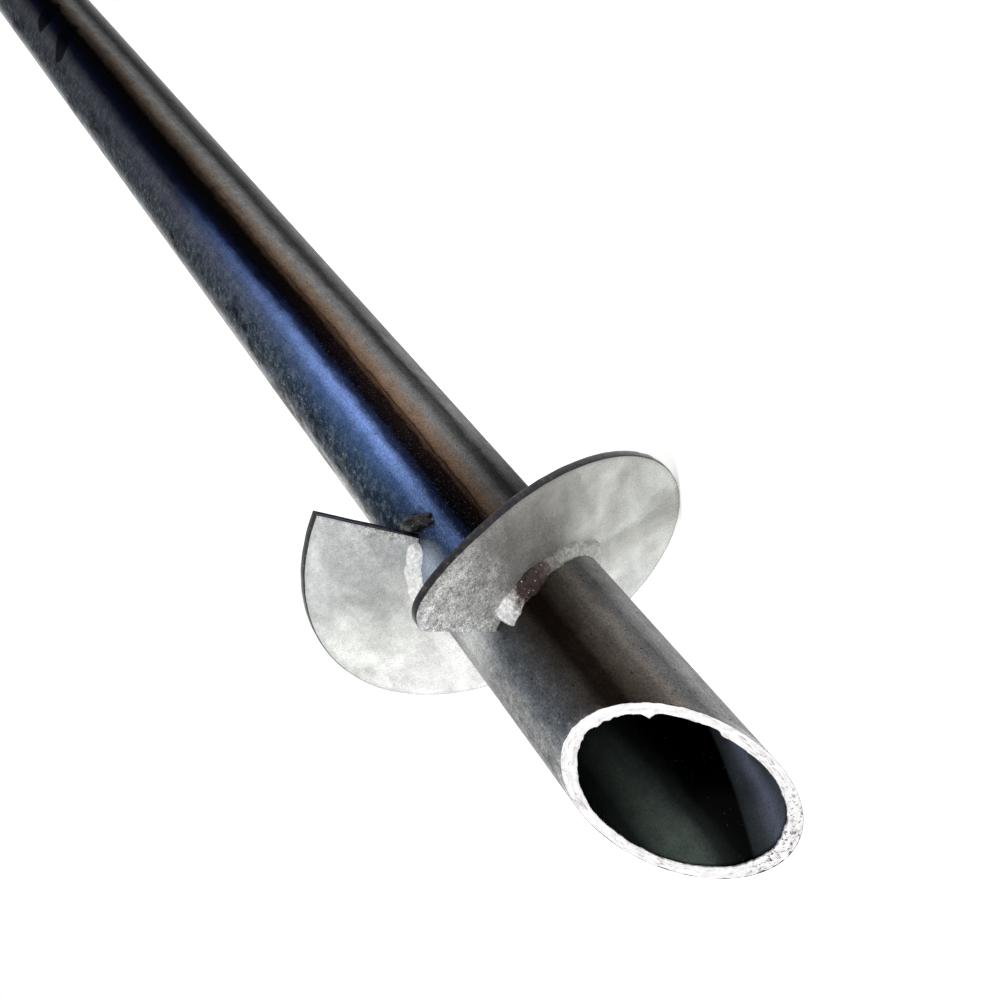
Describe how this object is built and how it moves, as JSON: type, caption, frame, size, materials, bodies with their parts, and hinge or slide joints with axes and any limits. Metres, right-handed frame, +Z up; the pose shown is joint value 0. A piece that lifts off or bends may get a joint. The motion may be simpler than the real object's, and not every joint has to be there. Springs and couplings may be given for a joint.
{
  "type": "foundation ground screw",
  "caption": "Steel tube pile with a slanting cut point and a right-hand helix plate welded round it near the point, lying on its side.",
  "frame": {"origin": "centre of the head end's face, on the axis of the tube; the ground lies one tube radius below", "axes": "+X along the ground from the head end towards the point, +Z up, with the tube rising towards the point by the tilt that the helix plate gives it"},
  "size_m": [1.6012, 0.185, 0.1833],
  "materials": {
    "tube_steel": "satin",
    "plate_zinc": "satin",
    "weld_metal": "satin"
  },
  "bodies": {
    "root": {"shaft_tube": "tube_steel", "helix_plate": "plate_zinc", "head_side_weld": "weld_metal", "tip_side_weld": "weld_metal"}
  },
  "joints": []
}
